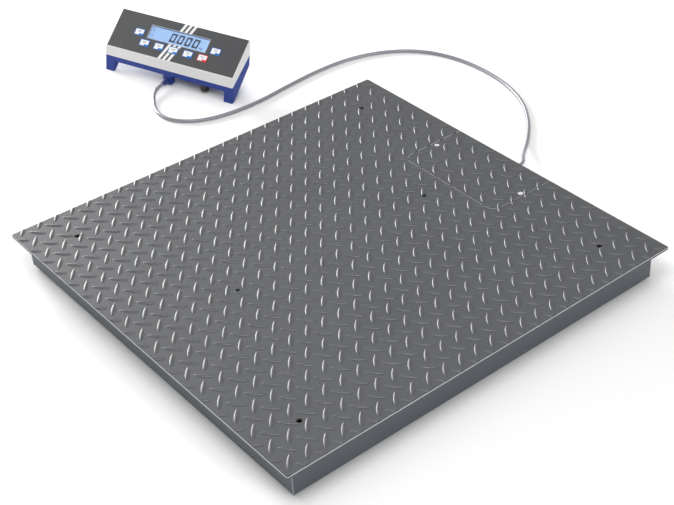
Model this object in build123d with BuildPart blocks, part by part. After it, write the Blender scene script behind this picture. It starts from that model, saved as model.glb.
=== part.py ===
from build123d import *
import os
from math import atan2, cos, pi, radians, sin, tan

# Platform shipping scale: a low steel platform on four load cells, and a desk indicator on a lead.
# Millimetres, +Z up. The floor is Z = 0. The origin is under the middle of the whole object.
# The platform's rear edge, with its hatch and cable outlet, is on the +Y side.

os.makedirs("parts", exist_ok=True)

# Platform
deck_length = 1000.0
deck_width = 1000.0
deck_top = 85.0
deck_thickness = 5.0
deck_corner_radius = 5.0
deck_edge_chamfer = 1.0
opening_chamfer = 0.8
deck_overhang = 25.0
floor_gap = 5.0
channel_flange = 40.0
channel_wall = 4.0
channel_bend = 3.0
stringer_width = 40.0
stringer_height = 60.0
stringer_wall = 3.0
rail_width = 32.0
mid_rail_y = 0.0

# Hatch over the junction box
hatch_width = 300.0
hatch_depth = 178.0
hatch_corner_radius = 25.0
hatch_gap = 1.2
hatch_seat_gap = 0.3
hatch_screw_inset = 10.0
hatch_screw_setback = 85.0
hatch_screw_radius = 3.0
hatch_screw_head_radius = 5.8
hatch_screw_length = 22.0
hatch_key_radius = 2.2
ledge_overlap = 22.0
ledge_reach = 15.0
ledge_thickness = 4.0
ledge_to_stringer = 5.0
ledge_end_gap = 1.0

# Load cells and levelling feet
foot_inset_x = 103.0
foot_inset_y = 104.0
access_hole_radius = 6.0
cell_length = 130.0
cell_section = 32.0
cell_free_end = 16.0
cell_pocket_radius = 11.0
cell_pocket_depth = 9.0
spacer_thickness = 10.0
spacer_length = 62.0
spacer_width = 50.0
spacer_thread_depth = 9.0
bolt_end_gap = 1.0
cell_chamfer = 1.0
bolt_radius = 6.0
bolt_head_flats = 18.0
bolt_head_height = 7.5
first_bolt = 16.0
bolt_pitch = 27.0
thread_clearance = 0.05
foot_radius = 25.0
foot_height = 18.0
foot_chamfer = 1.0
foot_rim_height = 6.0
foot_neck_radius = 13.75
foot_socket_depth = 10.0
stem_collar_height = 6.0
stem_chamfer = 0.8
stem_collar_flats = 17.0
stem_key_flats = 6.0
stem_key_depth = 8.0
stem_top_margin = 4.0
lock_nut_height = 7.0
lock_nut_flats = 19.0
turning_gap = 0.3

# Lifting-eye bosses
lifting_eye_y = 253.0
lifting_thread_radius = 5.1
lifting_boss_radius = 15.0
lifting_boss_length = 25.0

# Junction box
box_length = 150.0
box_width = 80.0
box_height = 40.0
box_wall = 3.0
box_corner = 5.0
box_bottom = 23.0
box_setback = 75.0
lid_height = 6.0
lid_post_radius = 5.0
lid_screw_inset = 7.0
lid_screw_radius = 1.75
lid_screw_head = 2.2
lid_screw_reach = 10.0
lid_thread_depth = 12.0
lid_chamfer = 1.5
summing_board_length = 120.0
summing_board_width = 56.0
terminal_pitch = 21.0
terminal_width = 17.0
terminal_depth = 9.0
terminal_height = 10.0
terminal_screw_pitch = 4.0
terminal_screw_radius = 1.2
terminal_screw_depth = 3.0
gland_height = 45.0
gland_length = 12.0
gland_radius = 7.0
gland_taper = 12.0
lead_radius = 2.5
front_lead_bends = [25.0, 40.0, 20.0]
rear_lead_bends = [60.0, 90.0]
front_lead_straight = 42.0
rear_lead_straight = 30.0
front_lead_rise = 55.0
lead_run_offset = 12.0
front_lead_y = 365.0
rear_lead_y = 405.0
lead_hole_radius = 10.0
clip_width = 10.0
clip_height = 14.0
clip_wall = 2.0
clip_pitch = 240.0
bracket_thickness = 3.0

# Signal cable
cable_radius = 4.5
cable_outlet_x = 14.0
outlet_thread_radius = 8.0
outlet_body_radius = 11.0
outlet_body_length = 17.0
outlet_hexagon = 6.8
outlet_dome_radius = 10.0
outlet_dome_taper = 8.0
relief_length = 20.0
relief_base_radius = 8.0
relief_tip_radius = 5.2

# Indicator
indicator_width = 420.0
face_depth = 117.0
face_slope = 38.0
front_lean = 13.0
housing_rise = 66.7
front_split = 42.0
rear_split = 27.5
indicator_turn = 19.5
indicator_corner_x = -1158.0
indicator_corner_y = 114.0
shell_wall = 3.0
leg_width = 27.0
arch_height = 28.7
arch_rear_height = 2.0
outer_round = 2.0
bezel = 3.0
overlay_thickness = 0.6
sheet_gap = 0.4
window_gap = 0.2
window_width = 191.0
window_height = 38.5
window_centre = 67.0
window_thickness = 1.5
key_width = 30.0
key_height = 19.0
key_gap = 0.3
key_corner = 1.5
key_proud = 0.5
key_cap = 3.5
key_plunger_radius = 3.0
key_row_y = 31.5
key_row_pitch = 47.8
side_key_x = 125.5
side_key_y = 58.0
board_depth = 10.0
board_thickness = 1.6
board_length = 380.0
board_width = 80.0
board_front = 12.0
leg_flat = 8.0
leg_floor = 4.0
arch_cut_depth = 12.0
notch_place = 62.0
notch_height = 27.0
notch_length = 8.0
notch_width = 5.0
notch_depth = 1.5
cut_past = 5.0
joined_depth = 1.5
display_margin = 4.0
boss_centre = 206.0
boss_width = 26.0
boss_front = 5.0
boss_bottom = 4.0
boss_length = 15.0
boss_lean = 4.0
boss_exit_height = 12.0
socket_position = 320.0
socket_depth = 19.0
socket_radius = 12.0
socket_thread_radius = 7.0
socket_bottom = 5.0
socket_inside = 8.0
stand_hinge_depth = 82.0
stand_hinge_height = 62.0
stand_foot_depth = 95.0
stand_width = 260.0
stand_thickness = 4.0
stand_barrel_radius = 4.0
stand_pin_radius = 2.0
stand_lug_width = 8.0
lug_tip = 4.0
lug_root = 6.0
stand_pad_length = 60.0
stand_pad_inset = 10.0
stand_pad_height = 3.0
housing_screw_radius = 1.75
housing_screw_head = 2.0
housing_screw_length = 10.0

# Places that follow from the sizes
slope = radians(face_slope)
lean = radians(front_lean)
turn = radians(indicator_turn)
deck_bottom = deck_top - deck_thickness
frame_half_x = deck_length / 2 - deck_overhang
frame_half_y = deck_width / 2 - deck_overhang
frame_height = deck_bottom - floor_gap
rear_edge = deck_width / 2
face_rise = face_depth * cos(slope) + housing_rise * sin(lean)
leftmost = indicator_corner_x - face_rise * sin(turn)
platform_x = -(leftmost + deck_length / 2) / 2
foot_x = deck_length / 2 - foot_inset_x
foot_y = deck_width / 2 - foot_inset_y
cell_top = deck_bottom - spacer_thickness
cell_bottom = cell_top - cell_section
cell_middle = cell_top - cell_section / 2
cell_inner_end = foot_x + cell_free_end - cell_length
stringer_bottom = deck_bottom - stringer_height
hatch_front = rear_edge - hatch_depth
hatch_screw_x = hatch_width / 2 - hatch_screw_inset
hatch_screw_y = rear_edge - hatch_screw_setback
stringer_x = hatch_width / 2 + ledge_reach + ledge_to_stringer + stringer_width / 2
box_y = rear_edge - box_setback - box_width / 2
box_top = box_bottom + box_height
lead_run_x = stringer_x + stringer_width / 2 + lead_run_offset

corners = {"front_left": (-1, -1), "front_right": (1, -1), "rear_right": (1, 1), "rear_left": (-1, 1)}
platform = Plane(origin=(platform_x, 0, 0))

# The indicator's own directions: across its front, towards its back, and up.
across = Vector(cos(turn), sin(turn), 0)
back = Vector(-sin(turn), cos(turn), 0)
up = Vector(0, 0, 1)
indicator_corner = Vector(platform_x + indicator_corner_x, indicator_corner_y, 0)
face_normal = back * -sin(slope) + up * cos(slope)
key_columns = {"key_row_1": -2, "key_row_2": -1, "key_row_3": 0, "key_row_4": 1, "key_row_5": 2}


def keep(piece, label):
    """Label a finished piece and write its STEP file."""
    piece.part.label = label
    export_step(piece.part, f"parts/{label}.step")


def upright(x, y, z):
    """Level plane at a place given from the platform's centre."""
    return Plane(origin=(platform_x + x, y, z))


def facing(x, y, z, direction):
    """Plane at a place given from the platform's centre, its normal along direction, its own y up."""
    sideways = Vector(0, 0, 1).cross(Vector(*direction))
    return Plane(origin=(platform_x + x, y, z), x_dir=sideways, z_dir=direction)


# ---------------------------------------------------------------- deck
def make_deck():
    with BuildPart() as deck:
        with BuildSketch(platform.offset(deck_bottom)):
            RectangleRounded(deck_length, deck_width, deck_corner_radius)
        extrude(amount=deck_thickness)
        chamfer(deck.faces().sort_by(Axis.Z)[-1].outer_wire().edges(), deck_edge_chamfer)
        with BuildSketch(platform.offset(deck_bottom)):
            with Locations((0, rear_edge)):
                RectangleRounded(hatch_width + 2 * hatch_gap, 2 * (hatch_depth + hatch_gap),
                                 hatch_corner_radius + hatch_gap)
            with GridLocations(2 * foot_x, 2 * foot_y, 2, 2):
                Circle(access_hole_radius)
            with Locations((0, -lifting_eye_y), (0, lifting_eye_y)):
                Circle(lifting_thread_radius)
        extrude(amount=deck_thickness, mode=Mode.SUBTRACT)
        rim = deck.edges().filter_by_position(Axis.Z, deck_top, deck_top)
        rim = rim.filter_by_position(Axis.Y, hatch_front - 2 * hatch_gap, rear_edge - 2 * deck_edge_chamfer,
                                     (False, False))
        half_opening = hatch_width / 2 + 2 * hatch_gap
        chamfer(rim.filter_by_position(Axis.X, platform_x - half_opening, platform_x + half_opening),
                opening_chamfer)
    keep(deck, "deck_plate")


# ---------------------------------------------------------------- frame of four mitred channels
def make_frame_side(label, direction, half_length, reach, has_outlet=False):
    """One channel. direction points outwards, and reach is from the platform's middle to its web."""
    outward = Vector(*direction)
    inward = outward * -1
    along = Vector(0, 0, 1).cross(outward)
    middle = Vector(platform_x, 0, floor_gap) + outward * reach
    with BuildPart() as side:
        with BuildSketch(Plane(origin=middle - along * half_length, x_dir=inward, z_dir=along)) as section:
            Rectangle(channel_flange, frame_height, align=(Align.MIN, Align.MIN))
            fillet(section.vertices().group_by(Axis.X)[0], channel_bend)
            with Locations((channel_wall, channel_wall)):
                Rectangle(channel_flange - channel_wall, frame_height - 2 * channel_wall,
                          align=(Align.MIN, Align.MIN), mode=Mode.SUBTRACT)
        extrude(amount=2 * half_length)
        with BuildSketch(Plane(origin=middle, x_dir=along, z_dir=(0, 0, 1))):
            Polygon((-half_length, 0), (half_length, 0), (half_length - channel_flange, channel_flange),
                    (channel_flange - half_length, channel_flange), align=None)
        extrude(amount=frame_height, mode=Mode.INTERSECT)
        if has_outlet:
            with BuildSketch(facing(cable_outlet_x, reach, gland_height, (0, -1, 0))):
                Circle(outlet_thread_radius)
            extrude(amount=channel_wall, mode=Mode.SUBTRACT)
    keep(side, label)


def make_frame():
    make_frame_side("frame_front", (0, -1, 0), frame_half_x, frame_half_y)
    make_frame_side("frame_rear", (0, 1, 0), frame_half_x, frame_half_y, has_outlet=True)
    make_frame_side("frame_left", (-1, 0, 0), frame_half_y, frame_half_x)
    make_frame_side("frame_right", (1, 0, 0), frame_half_y, frame_half_x)


def box_section(width, height, wall):
    """Hollow section with its lower edge on the sketch's origin."""
    Rectangle(width, height, align=(Align.CENTER, Align.MIN))
    with Locations((0, wall)):
        Rectangle(width - 2 * wall, height - 2 * wall, align=(Align.CENTER, Align.MIN), mode=Mode.SUBTRACT)


def make_stringers():
    """Two stiffeners from the front channel's flange to the rear one's, each with two lead holes."""
    length = 2 * (frame_half_y - channel_flange)
    with BuildPart() as stringers:
        for x in (-stringer_x, stringer_x):
            with BuildSketch(facing(x, length / 2, stringer_bottom, (0, -1, 0))):
                box_section(stringer_width, stringer_height, stringer_wall)
            extrude(amount=length)
            for lead_y in (front_lead_y, rear_lead_y):
                with BuildSketch(facing(x, lead_y, gland_height, (1, 0, 0))):
                    Circle(lead_hole_radius)
                extrude(amount=stringer_width, both=True, mode=Mode.SUBTRACT)
    keep(stringers, "stringers")


def make_cross_rails():
    """Two rails between the stringers: one under the hatch's front seam, one in the middle."""
    length = 2 * stringer_x - stringer_width
    with BuildPart() as rails:
        for y in (hatch_front, mid_rail_y):
            with BuildSketch(facing(-length / 2, y, stringer_bottom, (1, 0, 0))):
                box_section(rail_width, stringer_height, stringer_wall)
            extrude(amount=length)
    keep(rails, "cross_rails")


def make_lifting_bosses():
    """Two threaded bosses under the deck, for screw-in lifting eyes."""
    with BuildPart() as bosses:
        for y in (-lifting_eye_y, lifting_eye_y):
            with BuildSketch(upright(0, y, deck_bottom)):
                Circle(lifting_boss_radius)
                Circle(lifting_thread_radius, mode=Mode.SUBTRACT)
            extrude(amount=-lifting_boss_length)
    keep(bosses, "lifting_bosses")


# ---------------------------------------------------------------- hatch
def make_hatch():
    with BuildPart() as hatch:
        with BuildSketch(platform.offset(deck_bottom + hatch_seat_gap)):
            with Locations((0, rear_edge)):
                RectangleRounded(hatch_width, 2 * hatch_depth, hatch_corner_radius)
                Rectangle(2 * hatch_width, 2 * hatch_depth, align=(Align.CENTER, Align.MIN),
                          mode=Mode.SUBTRACT)
        extrude(amount=deck_thickness - hatch_seat_gap)
        chamfer(hatch.faces().sort_by(Axis.Z)[-1].outer_wire().edges(), deck_edge_chamfer)
        with Locations(upright(-hatch_screw_x, hatch_screw_y, deck_top),
                       upright(hatch_screw_x, hatch_screw_y, deck_top)):
            CounterSinkHole(hatch_screw_radius + thread_clearance, hatch_screw_head_radius + thread_clearance)
    keep(hatch, "hatch_plate")


def make_hatch_screws():
    """Two countersunk socket screws, flush with the hatch."""
    head_depth = hatch_screw_head_radius - hatch_screw_radius
    with BuildPart() as screws:
        for x in (-hatch_screw_x, hatch_screw_x):
            with BuildSketch(upright(x, hatch_screw_y, deck_top)):
                Circle(hatch_screw_radius)
            extrude(amount=-hatch_screw_length)
            with BuildSketch(upright(x, hatch_screw_y, deck_top)):
                Circle(hatch_screw_head_radius)
            extrude(amount=-head_depth, taper=45)
            with BuildSketch(upright(x, hatch_screw_y, deck_top)):
                RegularPolygon(hatch_key_radius, 6)
            extrude(amount=-hatch_screw_radius, mode=Mode.SUBTRACT)
    keep(screws, "hatch_screws")


def make_hatch_ledges():
    """Two strips welded under the deck, which carry the hatch's sides and take its screws."""
    start = hatch_front + rail_width / 2 + ledge_end_gap
    length = frame_half_y - channel_flange - ledge_end_gap - start
    with BuildPart() as ledges:
        for side in (-1, 1):
            outer = side * (hatch_width / 2 + ledge_reach)
            with BuildSketch(upright(outer, start, deck_bottom)):
                Rectangle(ledge_reach + ledge_overlap, length,
                          align=(Align.MAX if side > 0 else Align.MIN, Align.MIN))
            extrude(amount=-ledge_thickness)
            with BuildSketch(upright(side * hatch_screw_x, hatch_screw_y, deck_bottom)):
                Circle(hatch_screw_radius + thread_clearance)
            extrude(amount=-ledge_thickness, mode=Mode.SUBTRACT)
    keep(ledges, "hatch_ledges")


# ---------------------------------------------------------------- load cells and feet
def bolt_places(sx):
    """Distances of the two bolts from the platform's centre line, along the cell."""
    return [sx * (cell_inner_end + first_bolt + n * bolt_pitch) for n in range(2)]


def make_spacers():
    """Welded pads that hold each cell's fixed end clear of the deck."""
    with BuildPart() as spacers:
        for sx, sy in corners.values():
            with BuildSketch(upright(sx * (cell_inner_end + spacer_length / 2), sy * foot_y, deck_bottom)):
                Rectangle(spacer_length, spacer_width)
            extrude(amount=-spacer_thickness)
            for x in bolt_places(sx):
                with BuildSketch(upright(x, sy * foot_y, cell_top)):
                    Circle(bolt_radius)
                extrude(amount=spacer_thread_depth, mode=Mode.SUBTRACT)
    keep(spacers, "cell_spacers")


def make_load_cell(name, sx, sy):
    """Shear-beam cell: bolted inner end, a pocket on each flank over the gauges, threaded free end."""
    middle_x = sx * (foot_x + cell_free_end - cell_length / 2)
    with BuildPart() as cell:
        with BuildSketch(upright(middle_x, sy * foot_y, cell_bottom)):
            Rectangle(cell_length, cell_section)
        extrude(amount=cell_section)
        chamfer(cell.edges().filter_by(Axis.X), cell_chamfer)
        for flank in (-1, 1):
            flank_y = sy * foot_y + flank * cell_section / 2
            with BuildSketch(facing(middle_x, flank_y, cell_middle, (0, flank, 0))):
                Circle(cell_pocket_radius)
            extrude(amount=-cell_pocket_depth, mode=Mode.SUBTRACT)
        for x in bolt_places(sx) + [sx * foot_x]:
            with BuildSketch(upright(x, sy * foot_y, cell_bottom)):
                Circle(bolt_radius)
            extrude(amount=cell_section, mode=Mode.SUBTRACT)
    keep(cell, f"load_cell_{name}")


def make_cell_bolts():
    with BuildPart() as bolts:
        for sx, sy in corners.values():
            for x in bolt_places(sx):
                with BuildSketch(upright(x, sy * foot_y, cell_bottom)):
                    RegularPolygon(bolt_head_flats / 2, 6, major_radius=False)
                extrude(amount=-bolt_head_height)
                with BuildSketch(upright(x, sy * foot_y, cell_bottom)):
                    Circle(bolt_radius - thread_clearance)
                extrude(amount=cell_section + spacer_thread_depth - bolt_end_gap)
    keep(bolts, "cell_bolts")


def make_lock_nuts():
    """Thin nuts, tight under each cell's free end."""
    with BuildPart() as nuts:
        for sx, sy in corners.values():
            with BuildSketch(upright(sx * foot_x, sy * foot_y, cell_bottom)):
                RegularPolygon(lock_nut_flats / 2, 6, major_radius=False)
                Circle(bolt_radius, mode=Mode.SUBTRACT)
            extrude(amount=-lock_nut_height)
    keep(nuts, "lock_nuts")


def make_foot_base(name, sx, sy):
    """Rubber-soled foot with a socket for the stem."""
    with BuildPart() as base:
        with BuildSketch(facing(sx * foot_x, sy * foot_y, 0, (0, -1, 0))):
            Polygon((0, 0), (foot_radius - foot_chamfer, 0), (foot_radius, foot_chamfer),
                    (foot_radius, foot_rim_height), (foot_neck_radius, foot_height), (0, foot_height),
                    align=None)
        revolve(axis=Axis((platform_x + sx * foot_x, sy * foot_y, 0), (0, 0, 1)))
        with BuildSketch(upright(sx * foot_x, sy * foot_y, foot_height)):
            Circle(bolt_radius)
        extrude(amount=-foot_socket_depth, mode=Mode.SUBTRACT)
    keep(base, f"foot_base_{name}")


def make_foot_stem(name, sx, sy):
    """Threaded stem with a spanner collar below and a key socket on top."""
    stem_top = cell_top - stem_top_margin
    stem_bottom = foot_height - foot_socket_depth + turning_gap
    with BuildPart() as stem:
        with BuildSketch(upright(sx * foot_x, sy * foot_y, stem_bottom)):
            Circle(bolt_radius - thread_clearance)
        extrude(amount=stem_top - stem_bottom)
        chamfer(stem.edges().filter_by(GeomType.CIRCLE), stem_chamfer)
        with BuildSketch(upright(sx * foot_x, sy * foot_y, foot_height + turning_gap)):
            RegularPolygon(stem_collar_flats / 2, 6, major_radius=False)
        extrude(amount=stem_collar_height)
        with BuildSketch(upright(sx * foot_x, sy * foot_y, stem_top)):
            RegularPolygon(stem_key_flats / 2, 6, major_radius=False)
        extrude(amount=-stem_key_depth, mode=Mode.SUBTRACT)
    keep(stem, f"foot_stem_{name}")


# ---------------------------------------------------------------- junction box and leads
def make_junction_bracket():
    """Folded tray between the stringers, under the box."""
    length = 2 * stringer_x - stringer_width
    with BuildPart() as bracket:
        with BuildSketch(upright(0, box_y, box_bottom - bracket_thickness)):
            Rectangle(length, box_width)
        extrude(amount=bracket_thickness)
        for side in (-1, 1):
            with BuildSketch(upright(side * (length - bracket_thickness) / 2, box_y, box_bottom)):
                Rectangle(bracket_thickness, box_width / 4)
            extrude(amount=box_height / 2)
    keep(bracket, "junction_bracket")


def make_junction_box():
    with BuildPart() as box:
        with BuildSketch(upright(0, box_y, box_bottom)):
            RectangleRounded(box_length, box_width, box_corner)
        extrude(amount=box_height)
        with BuildSketch(upright(0, box_y, box_bottom + box_wall)):
            RectangleRounded(box_length - 2 * box_wall, box_width - 2 * box_wall, box_corner - box_wall)
        extrude(amount=box_height - box_wall, mode=Mode.SUBTRACT)
        for x, y in lid_screw_places():
            with BuildSketch(upright(x, y, box_bottom + box_wall)):
                Circle(lid_post_radius)
            extrude(amount=box_height - box_wall)
            with BuildSketch(upright(x, y, box_top)):
                Circle(lid_screw_radius)
            extrude(amount=-lid_thread_depth, mode=Mode.SUBTRACT)
    keep(box, "junction_box")


def lid_screw_places():
    reach_x, reach_y = box_length / 2 - lid_screw_inset, box_width / 2 - lid_screw_inset
    return [(sx * reach_x, box_y + sy * reach_y) for sx, sy in corners.values()]


def make_junction_lid():
    with BuildPart() as lid:
        with BuildSketch(upright(0, box_y, box_top)):
            RectangleRounded(box_length, box_width, box_corner)
        extrude(amount=lid_height)
        chamfer(lid.faces().sort_by(Axis.Z)[-1].edges(), lid_chamfer)
        for x, y in lid_screw_places():
            with BuildSketch(upright(x, y, box_top)):
                Circle(lid_screw_radius)
            extrude(amount=lid_height, mode=Mode.SUBTRACT)
    keep(lid, "junction_lid")


def make_junction_screws():
    with BuildPart() as screws:
        for x, y in lid_screw_places():
            with BuildSketch(upright(x, y, box_top + lid_height)):
                Circle(2 * lid_screw_radius)
            extrude(amount=lid_screw_head)
            with BuildSketch(upright(x, y, box_top + lid_height)):
                Circle(lid_screw_radius - thread_clearance)
            extrude(amount=-lid_height - lid_screw_reach)
    keep(screws, "junction_screws")


def make_summing_board():
    with BuildPart() as board:
        with BuildSketch(upright(0, box_y, box_bottom + box_wall)):
            Rectangle(summing_board_length, summing_board_width)
        extrude(amount=board_thickness)
    keep(board, "summing_board")


def make_terminal_blocks():
    """One clamp block for each lead, on the board."""
    board_top = box_bottom + box_wall + board_thickness
    with BuildPart() as blocks:
        for place in range(-2, 3):
            with BuildSketch(upright(place * terminal_pitch, box_y, board_top)):
                Rectangle(terminal_width, terminal_depth)
            extrude(amount=terminal_height)
            with BuildSketch(upright(place * terminal_pitch, box_y, board_top + terminal_height)):
                with GridLocations(terminal_screw_pitch, 0, 4, 1):
                    Circle(terminal_screw_radius)
            extrude(amount=-terminal_screw_depth, mode=Mode.SUBTRACT)
    keep(blocks, "terminal_blocks")


def gland_places():
    """Each gland's place on the box's wall, and the way that it points."""
    rows = (front_lead_y, rear_lead_y)
    places = [(side * box_length / 2, y, (side, 0, 0)) for side in (-1, 1) for y in rows]
    return places + [(cable_outlet_x, box_y + box_width / 2, (0, 1, 0))]


def make_junction_glands():
    with BuildPart() as glands:
        for x, y, direction in gland_places():
            with BuildSketch(facing(x, y, gland_height, direction)):
                RegularPolygon(gland_radius, 6, major_radius=False)
            extrude(amount=gland_length / 2)
            with BuildSketch(facing(x, y, gland_height, direction).offset(gland_length / 2)):
                Circle(gland_radius)
            extrude(amount=gland_length / 2, taper=gland_taper)
    keep(glands, "junction_glands")


def make_tube(label, points, radii, radius):
    """Round tube along straight runs with tangent arcs, its volume printed beside the expected one."""
    with BuildPart() as tube:
        with BuildLine() as path:
            FilletPolyline(*points, radius=radii)
        with BuildSketch(Plane(origin=path.wire() @ 0, z_dir=path.wire() % 0)):
            Circle(radius)
        sweep()
    keep(tube, label)
    length = path.wire().length
    expected = pi * radius**2 * length
    print(f"{label}: length {length:.1f}, volume {tube.part.volume:.0f}, expected {expected:.0f}")


def make_cell_lead(name, sx, sy):
    """Lead from the cell's inner end, along and through the stringer, to its gland."""
    end_x = box_length / 2 + gland_length
    start = (cell_inner_end, sy * foot_y, cell_middle)
    if sy > 0:
        plan = [start, (cell_inner_end - rear_lead_straight, foot_y, cell_middle),
                (stringer_x, rear_lead_y, gland_height), (end_x, rear_lead_y, gland_height)]
        radii = rear_lead_bends
    else:
        plan = [start, (cell_inner_end - front_lead_straight, -foot_y, cell_middle),
                (lead_run_x, front_lead_rise - foot_y, gland_height),
                (lead_run_x, front_lead_y, gland_height), (end_x, front_lead_y, gland_height)]
        radii = front_lead_bends
    make_tube(f"cell_lead_{name}", [(platform_x + sx * x, y, z) for x, y, z in plan], radii, lead_radius)


def make_lead_clips():
    """Saddles that hold the long front leads against the stringers."""
    stringer_face = stringer_x + stringer_width / 2
    with BuildPart() as clips:
        for side in (-1, 1):
            for y in (-clip_pitch, 0, clip_pitch):
                with BuildSketch(facing(side * stringer_face, y, gland_height, (side, 0, 0))):
                    Rectangle(clip_width, clip_height)
                extrude(amount=lead_run_offset + lead_radius + clip_wall)
                with BuildSketch(facing(side * lead_run_x, y, gland_height, (0, 1, 0))):
                    Circle(lead_radius + thread_clearance)
                extrude(amount=clip_width, both=True, mode=Mode.SUBTRACT)
    keep(clips, "lead_clips")


# ---------------------------------------------------------------- signal cable
def make_signal_lead_inside():
    """The signal cable's hidden stretch, from the junction box to the rear outlet."""
    start = box_y + box_width / 2 + gland_length
    end = frame_half_y - channel_wall - lock_nut_height
    with BuildPart() as lead:
        with BuildSketch(facing(cable_outlet_x, start, gland_height, (0, 1, 0))):
            Circle(cable_radius)
        extrude(amount=end - start)
    keep(lead, "signal_lead_inside")


def make_cable_outlet():
    """Threaded gland in the rear channel: nut inside, hexagon and dome outside."""
    web = facing(cable_outlet_x, frame_half_y, gland_height, (0, 1, 0))
    with BuildPart() as outlet:
        with BuildSketch(web.offset(-channel_wall - lock_nut_height)):
            Circle(outlet_thread_radius - thread_clearance)
        extrude(amount=channel_wall + lock_nut_height)
        with BuildSketch(web.offset(-channel_wall)):
            RegularPolygon(outlet_body_radius, 6, major_radius=False)
        extrude(amount=-lock_nut_height)
        with BuildSketch(web):
            RegularPolygon(outlet_body_radius, 6, major_radius=False)
        extrude(amount=outlet_hexagon)
        with BuildSketch(web.offset(outlet_hexagon)):
            Circle(outlet_dome_radius)
        extrude(amount=outlet_body_length - outlet_hexagon, taper=outlet_dome_taper)
    keep(outlet, "cable_outlet")


def make_relief(label, plane):
    """Tapered sleeve on the cable."""
    with BuildPart() as relief:
        with BuildSketch(plane):
            Circle(relief_base_radius)
        with BuildSketch(plane.offset(relief_length)):
            Circle(relief_tip_radius)
        loft()
    keep(relief, label)


# The cable's route over the floor, from the rear outlet's sleeve to the indicator's sleeve.
cable_route = [
    (360.9, 512, 45), (360.9, 550, 45), (329, 588, 33), (289, 632, 12), (251, 672, 5), (189, 740, 5),
    (107, 800, 5), (12, 835, 5), (-93, 846, 5), (-193, 836, 5), (-283, 800, 5), (-351, 728, 5),
    (-390, 630, 5), (-395, 520, 5), (-384, 410, 5), (-369, 310, 5), (-371, 215, 5), (-396, 134, 5),
    (-450, 86, 5), (-509, 83, 5), (-558, 106, 5), (-600.6, 136.6, 12), (-611.9, 168.6, 12),
]


def make_cable():
    """The free cable as straight runs with tangent arcs, as wide as the runs allow."""
    points = [Vector(*point) for point in cable_route]
    runs = [end - start for start, end in zip(points, points[1:])]
    radii = []
    for before, after in zip(runs, runs[1:]):
        half_turn = radians(before.get_angle(after)) / 2
        radii.append(0.45 * min(before.length, after.length) / tan(half_turn))
    print("cable radii:", [round(radius) for radius in radii])
    make_tube("signal_cable", cable_route, radii, cable_radius)


# ---------------------------------------------------------------- indicator
def on_side(along_slope, along_front):
    """Depth and height of a point given along the sloping face and along the leaning front."""
    return (along_slope * cos(slope) + along_front * sin(lean),
            along_slope * sin(slope) + along_front * cos(lean))


def side_plane(place):
    """Upright plane across the indicator: its x is depth, its y is height."""
    return Plane(origin=indicator_corner + across * place, x_dir=back, z_dir=across)


def face_plane(depth=0.0):
    """Plane of the sloping face, or of what lies a depth under it. Its origin is the lower left corner."""
    reach, height = on_side(0, housing_rise)
    origin = indicator_corner + back * reach + up * height - face_normal * depth
    return Plane(origin=origin, x_dir=across, z_dir=face_normal)


def arch_line(along_slope):
    """Height, along the leaning front, of the base's underside between its cheeks."""
    return arch_height + (arch_rear_height - arch_height) * along_slope / face_depth


def panel_height(depth):
    """Height of that underside over the floor at a depth."""
    front, rear = on_side(0, arch_height), on_side(face_depth, arch_rear_height)
    return front[1] + (rear[1] - front[1]) * (depth - front[0]) / (rear[0] - front[0])


def key_places():
    """Each key's centre on the face."""
    places = {name: (indicator_width / 2 + column * key_row_pitch, bezel + key_row_y)
              for name, column in key_columns.items()}
    places["key_left"] = (indicator_width / 2 - side_key_x, bezel + side_key_y)
    places["key_right"] = (indicator_width / 2 + side_key_x, bezel + side_key_y)
    return places


def upright_edges(shell):
    """A housing half's four edges that follow its leaning front."""
    return shell.edges().filter_by(Axis((0, 0, 0), (back * sin(lean) + up * cos(lean)).to_tuple()))


def make_indicator_top():
    wall_rise = shell_wall / cos(slope + lean)
    inner = face_depth - shell_wall
    with BuildPart() as top:
        with BuildSketch(side_plane(0)):
            Polygon(on_side(0, front_split), on_side(face_depth, rear_split),
                    on_side(face_depth, housing_rise), on_side(0, housing_rise), align=None)
        extrude(amount=indicator_width)
        rim = top.faces().sort_by(Axis((0, 0, 0), face_normal.to_tuple()))[-1]
        fillet(rim.edges() + upright_edges(top), outer_round)
        with BuildSketch(side_plane(shell_wall)):
            Polygon(on_side(shell_wall, rear_split - cut_past), on_side(inner, rear_split - cut_past),
                    on_side(inner, housing_rise - wall_rise), on_side(shell_wall, housing_rise - wall_rise),
                    align=None)
        extrude(amount=indicator_width - 2 * shell_wall, mode=Mode.SUBTRACT)
        with BuildSketch(face_plane()):
            with Locations((indicator_width / 2, face_depth / 2)):
                Rectangle(indicator_width - 2 * bezel, face_depth - 2 * bezel)
        extrude(amount=-overlay_thickness, mode=Mode.SUBTRACT)
        with BuildSketch(face_plane()):
            with Locations((indicator_width / 2, bezel + window_centre)):
                Rectangle(window_width, window_height)
            with Locations(*key_places().values()):
                Rectangle(key_width + 2 * key_gap, key_height + 2 * key_gap)
        extrude(amount=-shell_wall * 2, mode=Mode.SUBTRACT)
    keep(top, "indicator_top")


def screw_planes():
    """Planes on the cheeks' undersides, facing down, for the housing screws."""
    rear = on_side(face_depth, 0)
    rise = atan2(rear[1], rear[0] - leg_flat)
    down = back * sin(rise) - up * cos(rise)
    for place in (leg_width / 2, indicator_width - leg_width / 2):
        for share in (0.3, 0.85):
            spot = across * place + back * (leg_flat + share * (rear[0] - leg_flat)) + up * (share * rear[1])
            yield Plane(origin=indicator_corner + spot, x_dir=across, z_dir=down)


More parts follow.
